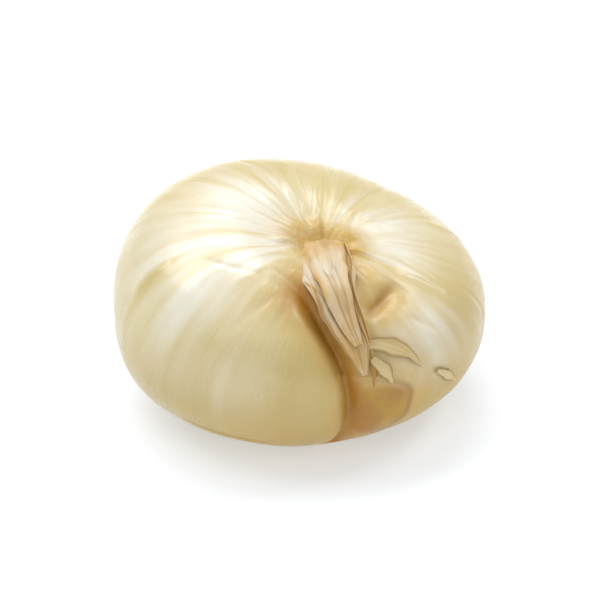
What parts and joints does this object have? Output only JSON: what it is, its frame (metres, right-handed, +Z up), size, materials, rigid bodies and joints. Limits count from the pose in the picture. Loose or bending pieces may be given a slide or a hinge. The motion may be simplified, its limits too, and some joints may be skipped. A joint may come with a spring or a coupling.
{
  "type": "cipollini onion",
  "caption": "Flat, pale cipollini onion resting on its underside, its withered neck folded over the front shoulder.",
  "frame": {"origin": "on the surface that the onion rests on, under the middle of its footprint", "axes": "+Z up, through the low way of the bulb; the neck falls over the shoulder on the -Y side; +X runs to the right seen from that side"},
  "size_m": [0.062, 0.0566, 0.0359],
  "materials": {
    "papery_skin": "pearly satin, faintly ribbed along the growth",
    "dried_leaf": "matte, dry and ridged",
    "dried_root": "matte, dry and wiry"
  },
  "bodies": {
    "root": {"bulb": "papery_skin", "withered_neck": "dried_leaf", "torn_leaf_upper": "dried_leaf", "torn_leaf_lower": "dried_leaf", "root_plate": "dried_root"}
  },
  "joints": []
}
